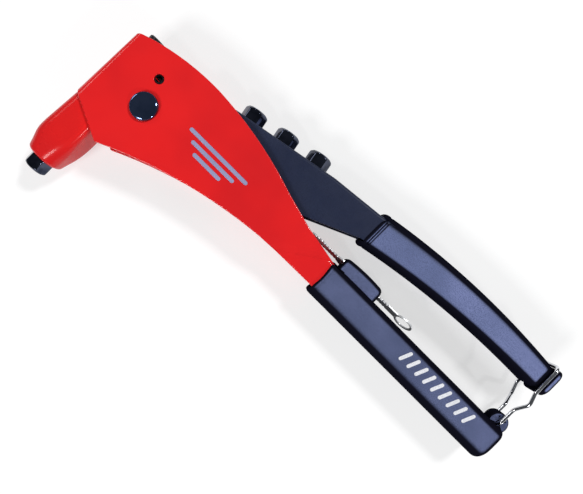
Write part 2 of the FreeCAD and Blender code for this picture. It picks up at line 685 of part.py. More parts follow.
def rounded_path(points, radii):
    """A wire of straight runs joined by tangent arcs of the given radii at the inner points."""
    edges, last = [], points[0]
    for i, radius in enumerate(radii, start=1):
        before, corner, after = points[i - 1], points[i], points[i + 1]
        back, ahead = (before - corner).normalize(), (after - corner).normalize()
        half_turn = (pi - acos(back.dot(ahead))) / 2
        reach = radius * tan(half_turn)
        a, b = corner + back * reach, corner + ahead * reach
        bisector = (back + ahead).normalize()
        middle = corner + bisector * (radius / cos(half_turn) - radius)
        edges += [Part.LineSegment(last, a).toShape(), Part.Arc(a, middle, b).toShape()]
        last = b
    edges.append(Part.LineSegment(last, points[-1]).toShape())
    return Part.Wire(edges)


def make_clasp():
    """Bent spring wire: two legs hinged in the tab, a crank outwards, and a closed bar."""
    r = d.wire_r.value
    narrow, wide = 3.7 + 0.35 + r, 10.35
    x, low, top = 0.0, 0.0, d.bar_y.value - d.hinge_y.value
    lean = -1.1
    side = [(x, low, 0.7), (x, low, narrow), (x + 0.1, 9.4, narrow), (x + 1.1, 15.4, wide),
            (lean + 0.2, 21.0, wide), (lean, top, wide)]
    points = [Vector(*p) for p in side] + [Vector(p[0], p[1], -p[2]) for p in reversed(side)]
    path = rounded_path(points, [1.6, 3.0, 3.0, 3.0, 2.6, 2.6, 3.0, 3.0, 3.0, 1.6])
    section = Part.Wire(Part.Circle(points[0], Vector(0, 0, 1), r).toShape())
    shape = path.makePipeShell([section], True, True)
    expected = pi * r * r * path.Length
    if abs(shape.Volume / expected - 1) > 0.01:
        raise RuntimeError("the clasp wire's sweep has the wrong volume")
    clasp = doc.addObject("Part::Feature", "clasp_wire")
    clasp.Label = "clasp_wire"
    clasp.Shape = shape
    place(clasp, d.hinge_x, d.hinge_y)
    pieces.append(clasp)


def make_key():
    """The flat nosepiece key, rolled a little about its length, in the grip's sleeve."""
    body = new_body("nosepiece_key")
    front, rear = 114.0, 178.9
    edge = [(front, -1.6), (front + 6.0, -2.5), (130.0, -2.5), (133.0, -3.8), (151.0, -3.8),
            (155.0, -2.4), (162.0, -2.4), (168.5, -6.0), (rear - 6.0, -6.0, 6.0),
            (rear, 0, 6.0), (rear - 6.0, 6.0), (168.5, 6.0), (162.0, 2.4), (155.0, 2.4), (151.0, 3.8),
            (133.0, 3.8), (130.0, 2.5), (front + 6.0, 2.5), (front, 1.6)]
    sketch = sketch_on(body, "XZ_Plane", [edge], circles=[(rear - 6.0, 0, 3.0)])
    pad(body, sketch, d.key_thick)
    place(body, 0, d.key_y, 0, axis=(1, 0, 0), angle=-d.key_tilt.value)


make_frame()
make_barrel()
make_nosepieces()
make_lever()
make_pivot()
make_pulling_head()
make_jaws()
make_lower_grip()
make_upper_grip()
make_clasp()
make_key()
doc.recompute()

for thing in doc.Objects:
    if {"Invalid", "Error"} & set(thing.State):
        raise RuntimeError(f"{thing.Label} did not compute: {thing.State}")
for piece in pieces:
    if piece.Shape.isNull() or not piece.Shape.isValid() or piece.Shape.Volume <= 0:
        raise RuntimeError(f"{piece.Label} has no valid shape")

os.makedirs("parts", exist_ok=True)
for piece in pieces:
    piece.Shape.exportStep(f"parts/{piece.Label}.step")
print(len(pieces), "pieces written")
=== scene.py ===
from math import atan2, cos, hypot, pi, radians, sin, sqrt, tan

import bmesh
import bpy
from mathutils import Matrix, Vector


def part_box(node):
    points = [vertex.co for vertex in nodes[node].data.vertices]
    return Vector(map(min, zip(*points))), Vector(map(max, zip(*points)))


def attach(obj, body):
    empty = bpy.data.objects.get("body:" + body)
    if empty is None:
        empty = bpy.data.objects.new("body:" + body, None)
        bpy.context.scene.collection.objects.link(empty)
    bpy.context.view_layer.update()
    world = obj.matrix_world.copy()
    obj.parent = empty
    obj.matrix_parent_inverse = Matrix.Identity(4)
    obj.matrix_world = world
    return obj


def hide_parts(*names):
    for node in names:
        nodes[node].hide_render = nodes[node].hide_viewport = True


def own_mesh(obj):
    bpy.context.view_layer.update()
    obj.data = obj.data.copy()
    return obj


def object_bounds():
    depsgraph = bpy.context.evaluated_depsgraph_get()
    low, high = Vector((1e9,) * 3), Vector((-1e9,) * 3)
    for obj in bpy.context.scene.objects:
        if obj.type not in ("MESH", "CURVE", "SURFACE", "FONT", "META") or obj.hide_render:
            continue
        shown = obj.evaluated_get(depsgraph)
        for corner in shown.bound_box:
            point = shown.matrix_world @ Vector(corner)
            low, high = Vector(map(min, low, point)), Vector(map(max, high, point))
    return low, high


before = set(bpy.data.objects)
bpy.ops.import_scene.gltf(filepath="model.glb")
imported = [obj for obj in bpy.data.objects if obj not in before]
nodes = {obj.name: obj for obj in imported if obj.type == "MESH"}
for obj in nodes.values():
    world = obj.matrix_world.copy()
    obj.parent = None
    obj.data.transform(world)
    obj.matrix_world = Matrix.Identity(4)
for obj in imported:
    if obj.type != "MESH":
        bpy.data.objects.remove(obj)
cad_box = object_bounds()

# Hand riveter on its side: the barrel points along -Y, the handles run along +X, and the
# side with the pivot pin's head is up. Shapes are worked out in millimetres in the frame's
# axes and turned into metres when their mesh is made.

MM = 0.001
SHARP = radians(38)  # edges that fold by more than this are shaded as sharp
ON_FACE = 0.05  # a point closer than this many mm to a face's height lies on that face


def box_mm(node):
    low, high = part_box(node)
    return low / MM, high / MM


# ---------------------------------------------------------------- materials

class Nodes:
    """A material's node tree, with short calls to add and join nodes."""

    def __init__(self, name):
        self.material = bpy.data.materials.new(name)
        self.material.use_nodes = True
        self.tree = self.material.node_tree
        self.shader = self.tree.nodes["Principled BSDF"]
        self.place = self.add("ShaderNodeTexCoord").outputs["Object"]

    def add(self, kind, **settings):
        node = self.tree.nodes.new(kind)
        for key, value in settings.items():
            setattr(node, key, value)
        return node

    def join(self, out, into):
        self.tree.links.new(out, into)

    def feed(self, name, out):
        """Joins an output to the shader's input of that name."""
        self.join(out, self.shader.inputs[name])

    def set(self, **values):
        """Sets the shader's inputs, whose names have _ for spaces."""
        for key, value in values.items():
            self.shader.inputs[key.replace("_", " ")].default_value = value

    def split(self, vector):
        """The X, Y and Z outputs of a vector output."""
        node = self.add("ShaderNodeSeparateXYZ")
        self.join(vector, node.inputs["Vector"])
        return node.outputs

    def math(self, operation, first, second=None, clamp=False):
        """A sum on outputs or numbers."""
        node = self.add("ShaderNodeMath", operation=operation, use_clamp=clamp)
        for socket, value in zip(node.inputs, (first, second)):
            if isinstance(value, float):
                socket.default_value = value
            elif value is not None:
                self.join(value, socket)
        return node.outputs[0]

    def noise(self, scale, detail=3.0, rough=0.55, stretch=None):
        """Noise over the piece's own coordinates. scale is in cells per metre."""
        node = self.add("ShaderNodeTexNoise")
        node.inputs["Scale"].default_value = scale
        node.inputs["Detail"].default_value = detail
        node.inputs["Roughness"].default_value = rough
        place = self.place
        if stretch:
            mapping = self.add("ShaderNodeMapping")
            mapping.inputs["Scale"].default_value = stretch
            self.join(place, mapping.inputs["Vector"])
            place = mapping.outputs["Vector"]
        self.join(place, node.inputs["Vector"])
        return node.outputs["Fac"]

    def spread(self, value, low, high, start=0.3, stop=0.7):
        """Maps value from start..stop to low..high."""
        node = self.add("ShaderNodeMapRange", interpolation_type="SMOOTHSTEP")
        self.join(value, node.inputs["Value"])
        for key, number in (("From Min", start), ("From Max", stop),
                            ("To Min", low), ("To Max", high)):
            node.inputs[key].default_value = number
        return node.outputs["Result"]

    def blend(self, share, dark, light):
        """A colour between two colours or colour outputs."""
        node = self.add("ShaderNodeMix", data_type="RGBA")
        self.join(share, node.inputs["Factor"])
        for socket, colour in ((node.inputs[6], dark), (node.inputs[7], light)):
            if isinstance(colour, tuple):
                socket.default_value = (*colour, 1.0)
            else:
                self.join(colour, socket)
        return node.outputs[2]

    def clouds(self, scale, dark, light, detail=3.0):
        """A colour that drifts between two colours."""
        return self.blend(self.spread(self.noise(scale, detail), 0.0, 1.0), dark, light)

    def bumps(self, layers):
        """Bump from (height, strength, depth in mm) layers, one on top of the other."""
        normal = None
        for height, strength, depth in layers:
            node = self.add("ShaderNodeBump")
            node.inputs["Strength"].default_value = strength
            node.inputs["Distance"].default_value = depth * MM
            self.join(height, node.inputs["Height"])
            if normal:
                self.join(normal, node.inputs["Normal"])
            normal = node.outputs["Normal"]
        self.feed("Normal", normal)


def enamel(name, dark, light, gloss, coat, shine):
    """Stove enamel: slow colour drift, faint orange peel, tiny dust specks."""
    drift, haze, peel, dust = 18.0, 45.0, 330.0, 1900.0
    n = Nodes(name)
    n.feed("Base Color", n.clouds(drift, dark, light))
    n.feed("Roughness", n.spread(n.noise(haze), *gloss))
    n.bumps([(n.noise(peel, 1.0), 0.05, 0.06), (n.noise(dust, 1.0), 0.04, 0.015)])
    n.set(Coat_Weight=coat, Coat_Roughness=0.05, Specular_IOR_Level=shine)
    return n.material


def satin_paint(name, dark, light):
    """Satin paint over sheet: fine speckle in colour, gloss and height."""
    grain, drift, haze, peel = 3200.0, 30.0, 180.0, 420.0
    speck_shade = 0.78
    n = Nodes(name)
    fine = n.noise(grain, 2.0, 0.7)
    slow = n.clouds(drift, dark, light)
    darker = tuple(c * speck_shade for c in dark)
    n.feed("Base Color", n.blend(n.spread(fine, 0.0, 1.0, 0.35, 0.6), darker, slow))
    n.feed("Roughness", n.spread(n.noise(haze), 0.40, 0.52))
    n.bumps([(fine, 0.15, 0.03), (n.noise(peel), 0.08, 0.05)])
    n.set(Specular_IOR_Level=0.18)
    return n.material


def metal(name, dark, light, rough, lines, metallic=1.0):
    """Turned, drawn or plated steel: stained colour, uneven gloss, and tool lines that are
    finer along the axes where lines is above 1."""
    stain, haze, tool, dent = 140.0, 260.0, 900.0, 240.0
    n = Nodes(name)
    n.feed("Base Color", n.clouds(stain, dark, light, 4.0))
    n.feed("Roughness", n.spread(n.noise(haze, 4.0), *rough))
    n.bumps([(n.noise(tool, 2.0, 0.6, stretch=lines), 0.10, 0.02),
             (n.noise(dent, 2.0), 0.08, 0.03)])
    n.set(Metallic=metallic)
    return n.material


# The flat sides' colours as lit, and a near-black painted shade for the rounded edges.
PANEL_DARK, PANEL_LIGHT = (0.120, 0.152, 0.300), (0.205, 0.245, 0.470)
PANEL_SPECK, EDGE_SHADE_NAVY = (0.080, 0.098, 0.200), (0.006, 0.006, 0.012)
NECK_DEEP = 2.2  # how far the neck in the upper grip's groove lies inside its sides


def grip_vinyl(name, least, painted_light):
    """Moulded vinyl. The flat sides have a fine pale grain and take the lit colour. The rounded
    edges are smoother, and are painted almost black as shade by how far they turn from the flat
    side. What lies nearer to the mid-plane than least, in mm, is painted dark as shade too. The
    last argument scales the flat sides' colours, to paint a grip darker as if it got less light."""
    flat_tilt, edge_tilt, fade = 0.02, 0.40, 0.5
    grain_cells, drift, dimples = 2600.0, 26.0, 700.0
    n = Nodes(name)
    # tilt is the sine of the angle between the surface and the tool's flat side.
    facing = n.split(n.add("ShaderNodeTexCoord").outputs["Normal"])["Z"]
    tilt = n.math("SQRT", n.math("SUBTRACT", 1.0, n.math("POWER", facing, 2.0), clamp=True))
    # Painted shade: the further the surface turns from the flat side, the nearer its colour comes
    # to the near-black edge colour.
    flat = n.spread(tilt, 1.0, 0.0, flat_tilt, edge_tilt)
    # Painted shade in the groove: what lies nearer to the mid-plane than least is coloured dark,
    # like the edges.
    from_middle = n.math("ABSOLUTE", n.split(n.place)["Z"])
    outside = n.spread(from_middle, 0.0, 1.0, least * MM, (least + fade) * MM)
    lit_panel = n.math("MULTIPLY", flat, outside)
    grain = n.noise(grain_cells, 2.0, 0.75)
    # The last argument scales the flat sides' colours, which paints a grip darker as if it got less
    # light.
    dark, light, speck = (tuple(painted_light * c for c in colour)
                          for colour in (PANEL_DARK, PANEL_LIGHT, PANEL_SPECK))
    speckled = n.blend(n.spread(grain, 0.0, 1.0, 0.34, 0.58), speck,
                       n.clouds(drift, dark, light))
    # Lit colour on the flat sides, and painted shade on the rounded edges and in the upper grip's
    # groove.
    n.feed("Base Color", n.blend(lit_panel, EDGE_SHADE_NAVY, speckled))
    n.feed("Roughness", n.spread(lit_panel, 0.36, 0.60, 0.0, 1.0))
    n.feed("Specular IOR Level", n.spread(lit_panel, 0.0, 0.16, 0.0, 1.0))
    n.bumps([(grain, 0.30, 0.05), (n.noise(dimples), 0.10, 0.06)])
    return n.material


RED = enamel("red_enamel", (0.64, 0.013, 0.016), (0.80, 0.016, 0.017), (0.18, 0.26),
             coat=0.20, shine=0.22)
RED_CAST = enamel("red_casting", (0.60, 0.012, 0.014), (0.78, 0.016, 0.015), (0.20, 0.28),
                  coat=0.10, shine=0.12)
NAVY = satin_paint("navy_enamel", (0.014, 0.020, 0.050), (0.020, 0.028, 0.062))
# Painted reflection: a paler, bluer copy of the dark chrome, so the pivot pin's face looks brighter
# than the nosepieces' chrome.
PIVOT_CHROME_LIT = metal("pivot_chrome_lit", (0.10, 0.15, 0.29), (0.15, 0.21, 0.38), (0.06, 0.14),
                     lines=(1, 1, 6))
CHROME = metal("dark_chrome", (0.022, 0.027, 0.045), (0.085, 0.095, 0.14), (0.05, 0.13),
               lines=(1, 1, 6))
STEEL = metal("turned_steel", (0.36, 0.37, 0.40), (0.55, 0.56, 0.60), (0.22, 0.42),
              lines=(1, 1, 8))
BLACK_STEEL = metal("black_steel", (0.016, 0.016, 0.020), (0.040, 0.040, 0.048), (0.30, 0.5),
                    lines=(1, 8, 1))
WIRE = metal("spring_wire", (0.62, 0.63, 0.66), (0.82, 0.83, 0.86), (0.06, 0.14),
             lines=(1, 6, 1))
KEY_STEEL = metal("key_steel", (0.74, 0.75, 0.78), (0.95, 0.96, 0.98), (0.20, 0.34),
                  lines=(6, 1, 1), metallic=0.25)
# Painted shade: the lower grip's vinyl is the upper one's, with its flat sides painted darker as if
# they got less light.
SHADED_LOWER_VINYL = grip_vinyl("lower_grip_vinyl_shaded", least=0.0, painted_light=0.66)
# Painted shade: everything deeper than NECK_DEEP inside the upper grip's sides, which is the neck
# in its groove, is coloured dark as the groove's shade.
UPPER_VINYL = grip_vinyl("upper_grip_vinyl", least=box_mm("upper_grip")[1].z - NECK_DEEP,
                         painted_light=1.0)
SILVER_PAINT = satin_paint("silver_paint", (0.30, 0.31, 0.50), (0.40, 0.41, 0.62))
WHITE_INK = satin_paint("white_ink", (0.78, 0.79, 0.84), (0.90, 0.91, 0.95))


# ---------------------------------------------------------------- mesh tools

AXIS_HOLE_R = 0.3  # a turned profile starts and ends here, and fill_axis closes what is left
SCRAP_FACES = 8  # a loose part with fewer faces than this is a sliver of a cut
SLIVER = 0.004  # corners closer than this many mm are one corner


def set_up(piece, material, body, slot, *replaced):
    """Gives a finished piece its material and its body, and hides the nodes it stands for. slot is
    not used.
    """
    piece.data.materials.clear()
    piece.data.materials.append(material)
    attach(piece, body)
    if replaced:
        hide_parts(*replaced)


def piece_from(name, mesh_data):
    """An object from a bmesh, smooth but for its sharp edges."""
    mesh = bpy.data.meshes.new(name)
    mesh_data.to_mesh(mesh)
    mesh_data.free()
    mesh.shade_smooth()
    mesh.set_sharp_from_angle(angle=SHARP)
    piece = bpy.data.objects.new(name, mesh)
    bpy.context.scene.collection.objects.link(piece)
    weighted = piece.modifiers.new("normals", "WEIGHTED_NORMAL")
    weighted.keep_sharp = True
    return piece


def loft(rings, closed=False):
    """Quads through rings of (x, y, z) points in mm, with caps at both ends, or joined from
    the last ring to the first where closed."""
    bm = bmesh.new()
    rows = [[bm.verts.new(Vector(p) * MM) for p in ring] for ring in rings]
    pairs = list(zip(rows, rows[1:])) + ([(rows[-1], rows[0])] if closed else [])
    for a, b in pairs:
        for i in range(len(a)):
            j = (i + 1) % len(a)
            bm.faces.new((a[i], a[j], b[j], b[i]))
    if not closed:
        bm.faces.new(rows[0][::-1])
        bm.faces.new(rows[-1])
    bmesh.ops.recalc_face_normals(bm, faces=bm.faces)
    return bm


def prism(name, outline, half):
    """A straight block of the outline, from -half to half in Z, for cutting."""
    return piece_from(name, loft([[(x, y, -half) for x, y in outline],
                                  [(x, y, half) for x, y in outline]]))


def bar(first, last, width, z, high):
    """A bar with round ends from one (x, y) to another, which stands up from height z and
    draws in at its top."""
    upright, draw, least_r, end_steps = 0.6, 0.5, 0.2, 8
    a, b = Vector(first), Vector(last)
    along = (b - a).normalized()
    across = Vector((-along.y, along.x))
    r = width / 2
    rings = []
    for level, inset in ((z, 0.0), (z + high * upright, 0.0), (z + high, high * draw)):
        ring = []
        for centre, turn in ((b, -pi / 2), (a, pi / 2)):
            for k in range(end_steps + 1):
                t = turn + pi * k / end_steps
                p = centre + (along * cos(t) + across * sin(t)) * max(least_r, r - inset)
                ring.append((p.x, p.y, level))
        rings.append(ring)
    return loft(rings)


def joined(name, parts):
    """One piece from several closed meshes that don't touch."""
    whole = bmesh.new()
    for part in parts:
        mesh = bpy.data.meshes.new("part")
        part.to_mesh(mesh)
        part.free()
        whole.from_mesh(mesh)
        bpy.data.meshes.remove(mesh)
    return piece_from(name, whole)


def rounded_outline(corners, steps, side_steps):
    """A polygon of (u, v, radius) corners, anticlockwise, with each corner rounded in steps
    and each side split evenly into side_steps."""
    arcs = []
    for i, (u, v, r) in enumerate(corners):
        here = Vector((u, v))
        back = (Vector(corners[i - 1][:2]) - here).normalized()
        ahead = (Vector(corners[(i + 1) % len(corners)][:2]) - here).normalized()
        half = back.angle(ahead) / 2
        centre = here + (back + ahead).normalized() * (r / sin(half))
        first = here + back * (r / tan(half)) - centre
        turn = pi - 2 * half
        arcs.append([centre + Matrix.Rotation(turn * k / steps, 2) @ first
                     for k in range(steps + 1)])
    points = []
    for i, arc in enumerate(arcs):
        after = arcs[(i + 1) % len(arcs)][0]
        points += arc + [arc[-1].lerp(after, k / side_steps) for k in range(1, side_steps)]
    return points


def refined(name, node, width, segments=3, angle=32.0, wide=None, wide_edges=None):
    """A copy of a CAD node's shape with its edges broken to a small radius. wide_edges picks
    the edges that get the larger radius, wide. Edges that fold by less than angle stay."""
    same_point, flat, wide_segments = 2e-6, radians(0.6), 5
    bm = bmesh.new()
    bm.from_mesh(nodes[node].data)
    for layer in list(bm.loops.layers.float_vector.values()):
        bm.loops.layers.float_vector.remove(layer)
    bmesh.ops.remove_doubles(bm, verts=bm.verts, dist=same_point)
    bmesh.ops.dissolve_limit(bm, angle_limit=flat, verts=bm.verts, edges=bm.edges)

    def sharp_edges():
        return [e for e in bm.edges if e.is_manifold and e.calc_face_angle(0.0) > radians(angle)]

    def break_edges(chosen, offset, steps):
        bmesh.ops.bevel(bm, geom=chosen, offset=offset * MM, offset_type="OFFSET",
                        segments=steps, profile=0.5, affect="EDGES", clamp_overlap=False)

    if wide:
        chosen = [e for e in sharp_edges() if wide_edges([v.co / MM for v in e.verts])]
        break_edges(chosen, wide, wide_segments)
    break_edges(sharp_edges(), width, segments)
    return piece_from(name, bm)


def turned(name, profile, centre, axis="Z", parts=96):
    """A ring or disc turned from (radius, height) corners in mm about the Z or Y axis."""
    rings = []
    for k in range(parts):
        a = 2 * pi * k / parts
        ring = []
        for r, h in profile:
            local = (r * cos(a), r * sin(a), h) if axis == "Z" else (r * cos(a), h, r * sin(a))
            ring.append(Vector(centre) + Vector(local))
        rings.append(ring)
    return piece_from(name, loft(rings, closed=True))


def fill_axis(piece, centre, axis="Z"):
    """Closes the fine hole that turning leaves about the axis, with a disc at each end."""
    slack = 0.02
    bm = bmesh.new()
    bm.from_mesh(piece.data)
    across = [k for k in range(3) if "XYZ"[k] != axis]

    def near_axis(v):
        return hypot(*(v.co[k] / MM - centre[k] for k in across)) < AXIS_HOLE_R + slack

    inner = [f for f in bm.faces if all(near_axis(v) for v in f.verts)]
    bmesh.ops.delete(bm, geom=inner, context="FACES_ONLY")
    bmesh.ops.holes_fill(bm, edges=[e for e in bm.edges if e.is_boundary])
    bm.to_mesh(piece.data)
    bm.free()


def carve(piece, cutter, operation="DIFFERENCE"):
    """Cuts the cutter out of the piece, or joins it on, and takes the cutter away."""
    change = piece.modifiers.new("carve", "BOOLEAN")
    change.operation, change.object, change.solver = operation, cutter, "EXACT"
    while piece.modifiers[0].name != "carve":
        bpy.context.view_layer.objects.active = piece
        bpy.ops.object.modifier_move_to_index(modifier="carve", index=0)
    weighted = piece.modifiers["normals"]
    weighted.show_viewport = False
    bpy.context.view_layer.update()
    done = bpy.data.meshes.new_from_object(
        piece.evaluated_get(bpy.context.evaluated_depsgraph_get()))
    piece.modifiers.remove(change)
    old, piece.data = piece.data, done
    bpy.data.meshes.remove(old)
    bpy.data.objects.remove(cutter)
    weighted.show_viewport = True
    piece.data.set_sharp_from_angle(angle=SHARP)


def drop_scraps(piece):
    """Joins the near-coincident corners that a cut leaves, cuts the many-sided faces into
    triangles and takes away doubled and loose slivers."""
    most_sides = 4
    bm = bmesh.new()
    bm.from_mesh(piece.data)
    bmesh.ops.remove_doubles(bm, verts=bm.verts, dist=SLIVER * MM)
    bmesh.ops.dissolve_degenerate(bm, edges=bm.edges, dist=SLIVER * MM)
    many_sided = [f for f in bm.faces if len(f.verts) > most_sides]
    cut = bmesh.ops.triangulate(bm, faces=many_sided, ngon_method="BEAUTY")
    doubled = {f for pair in cut["face_map_double"].items() for f in pair}
    bmesh.ops.delete(bm, geom=list(doubled), context="FACES")
    left, scraps = set(bm.faces), []
    while left:
        island = {left.pop()}
        front = list(island)
        while front:
            face = front.pop()
            found = {f for e in face.edges for f in e.link_faces} & left
            left -= found
            island |= found
            front += found
        if len(island) < SCRAP_FACES:
            scraps += island
    bmesh.ops.delete(bm, geom=scraps, context="FACES")
    bm.to_mesh(piece.data)
    bm.free()


# ---------------------------------------------------------------- curves

def end_inset(distance, radius):
    """How far a surface has drawn in at a distance from its end, for a rounded end."""
    if distance >= radius:
        return 0.0
    return radius - sqrt(max(0.0, radius * radius - (radius - distance) ** 2))


def held(share):
    """The share, held between 0 and 1."""
    return min(1.0, max(0.0, share))


def smooth_step(share):
    """0 below 0, 1 above 1, and smooth between."""
    share = held(share)
    return share * share * (3 - 2 * share)


def smooth_hump(value, middle, reach):
    """1 at middle, falling smoothly to 0 at reach on either side."""
    share = min(1.0, abs(value - middle) / reach)
    return 0.5 + 0.5 * cos(pi * share)


def stations(start, end, near=5.0, spacing=3.5, fine=9):
    """Places along a piece from start to end, close together near both ends."""
    ease = [near * (1 - cos(pi / 2 * k / fine)) for k in range(fine)]
    middle_count = max(2, int((end - start - 2 * near) / spacing))
    middle = [start + near + (end - start - 2 * near) * k / middle_count
              for k in range(middle_count + 1)]
    return [start + e for e in ease] + middle + [end - e for e in reversed(ease)]


def arc_height(x, x0, y0, x1, y1, radius):
    """Height at x of the arc through two points, bulging up."""
    a, b = Vector((x0, y0)), Vector((x1, y1))
    middle, half = (a + b) / 2, (b - a).length / 2
    normal = Vector((-(b - a).y, (b - a).x)).normalized()
    centre = middle - normal * sqrt(radius * radius - half * half)
    return centre.y + sqrt(radius * radius - (x - centre.x) ** 2)


# ---------------------------------------------------------------- frame and lever

MOUTH_GAP = 0.25  # how far a grip's mouth stands off the sheet that goes into it


def shank_half():
    """Half the width of the frame's shank, from the vertices well inside the lower grip."""
    inside_grip = 0.14
    return max(v.co.z for v in nodes["body_frame"].data.vertices if v.co.x > inside_grip) / MM


def make_frame():
    # The shank's upper edges are rounder than the others just in front of the lower grip.
    side, round_start, round_end, round_low = shank_half(), 111.0, 135.0, 66.5

    def on_shank(points):
        return all(abs(abs(p.z) - side) < ON_FACE and round_start < p.x < round_end
                   and p.y > round_low for p in points)

    sheet = refined("frame_sheet", "body_frame", 0.40, angle=34.0, wide=1.4,
                    wide_edges=on_shank)
    # The fold's outer skin leans in a little towards its rear end.
    low, high = box_mm("body_frame")
    front_y, rear_y, lean, reach = 41.5, 78.2, 1.25, 5.0
    skin_x, skin_z = 1.9, 2.1
    inner_x, inner_z = low.x + skin_x, high.z - skin_z
    for v in sheet.data.vertices:
        x, y, z = v.co / MM
        outside = x < inner_x or abs(z) > inner_z
        share = held((low.x + reach - x) / reach)
        along = max(0.0, (y - front_y) / (rear_y - front_y))
        if outside and share > 0:
            v.co.x += lean * along * share * MM
    set_up(sheet, RED, "frame", "red_enamel", "body_frame")


def make_lever():
    high = box_mm("lever")[1]
    # The two long outer edges are folded edges, so they are rounder than the cut ones. They
    # lie above a line that runs a little flatter than the lever's back.
    fold_start, line_x, line_y, line_slope = 45.5, 45.9, 84.5, 0.12

    def on_fold(points):
        return all(abs(abs(p.z) - high.z) < ON_FACE and p.x > fold_start
                   and p.y > line_y + (p.x - line_x) * line_slope for p in points)

    sheet = refined("lever_sheet", "lever", 0.35, wide=1.5, wide_edges=on_fold)
    drop_scraps(sheet)
    set_up(sheet, NAVY, "lever_arm", "navy_enamel", "lever")


# ---------------------------------------------------------------- barrel and small parts

def make_barrel():
    """The casting: a rounded square that narrows to the front, hollow for the pulling head."""
    low, high = box_mm("barrel")
    front, rear = low.y, high.y
    taper = front + 9.9
    half_x, half_z = high.x, high.z
    front_half, rear_in, lip, lip_share = 7.9, 1.8, 1.6, 0.6
    corner, corner_gain, corner_ease = 5.0, 1.4, 6.0
    crisp_by, crisp_reach = 1.6, 8.0
    bend, bend_ease = 3.4, 6.0
    slope = (half_x - front_half) / (taper - front)

    def section(y):
        narrow = held((taper - y) / (taper - front))
        # The bend between the taper and the block is rounded over.
        off = y - taper
        soft = (bend - abs(off)) ** 2 / (4 * bend) if abs(off) < bend else 0.0
        inset = end_inset(y - front, lip)
        right = half_x - (half_x - front_half) * narrow - soft * slope - inset
        left = right - rear_in * max(0.0, (y - taper) / (rear - taper))
        depth = half_z - (half_z - front_half) * narrow - soft * slope - inset
        # The edges get rounder towards the front, and those on the right crisper to the rear.
        gain = held((taper + corner_ease - y) / (2 * corner_ease))
        r = corner + corner_gain * gain - inset * lip_share
        crisp = r - crisp_by * held((y - taper) / crisp_reach)
        outline = rounded_outline([(-left, -depth, r), (right, -depth, crisp),
                                   (right, depth, crisp), (-left, depth, r)],
                                  steps=10, side_steps=5)
        return [(p.x, y, p.y) for p in outline]

    ease_start, ease_end = taper - bend_ease, taper + bend_ease
    places = sorted({front + lip * (1 - cos(pi / 2 * k / 6)) for k in range(7)}
                    | {front + lip + (ease_start - front - lip) * k / 3 for k in range(4)}
                    | {ease_start + k for k in range(13)}
                    | {ease_end + (rear - taper - bend_ease) * k / 6 for k in range(7)})
    outer = [section(y) for y in places]
    around = [atan2(p[2], p[0]) for p in outer[0]]
    bore_r, thread_r, thread_long = 4.95, 3.95, 4.2
    inner = [[(r * cos(a), y, r * sin(a)) for a in around]
             for y, r in ((rear, bore_r), (front + thread_long, bore_r),
                          (front + thread_long, thread_r), (front, thread_r))]
    piece = piece_from("barrel_casting", loft(outer + inner, closed=True))
    set_up(piece, RED_CAST, "frame", "red_casting", "barrel")


def make_small_parts():
    """Small parts with broken edges, and the ones inside that keep the CAD's own mesh."""
    hexagon_edge, ring_edge = 0.55, 0.15
    for node, name, body in (("nosepiece_fitted", "nosepiece_hexagon", "frame"),
                             ("spare_nosepiece_1", "spare_hexagon_1", "lever_arm"),
                             ("spare_nosepiece_2", "spare_hexagon_2", "lever_arm"),
                             ("spare_nosepiece_3", "spare_hexagon_3", "lever_arm")):
        set_up(refined(name, node, hexagon_edge, segments=2), CHROME, body, "dark_chrome", node)
    set_up(refined("pivot_ring", "pivot_retaining_ring", ring_edge, segments=2), STEEL, "frame",
           "steel", "pivot_retaining_ring")
    for material, kept in (
            (STEEL, ("pivot_washer_near", "pivot_washer_far", "drive_trunnion_near",
                     "drive_trunnion_far", "jaw_near", "jaw_far", "jaw_pusher")),
            (BLACK_STEEL, ("jaw_case", "lock_nut", "mandrel_tube")),
            (WIRE, ("clasp_wire",))):
        for node in kept:
            nodes[node].data.materials.clear()
            nodes[node].data.materials.append(material)


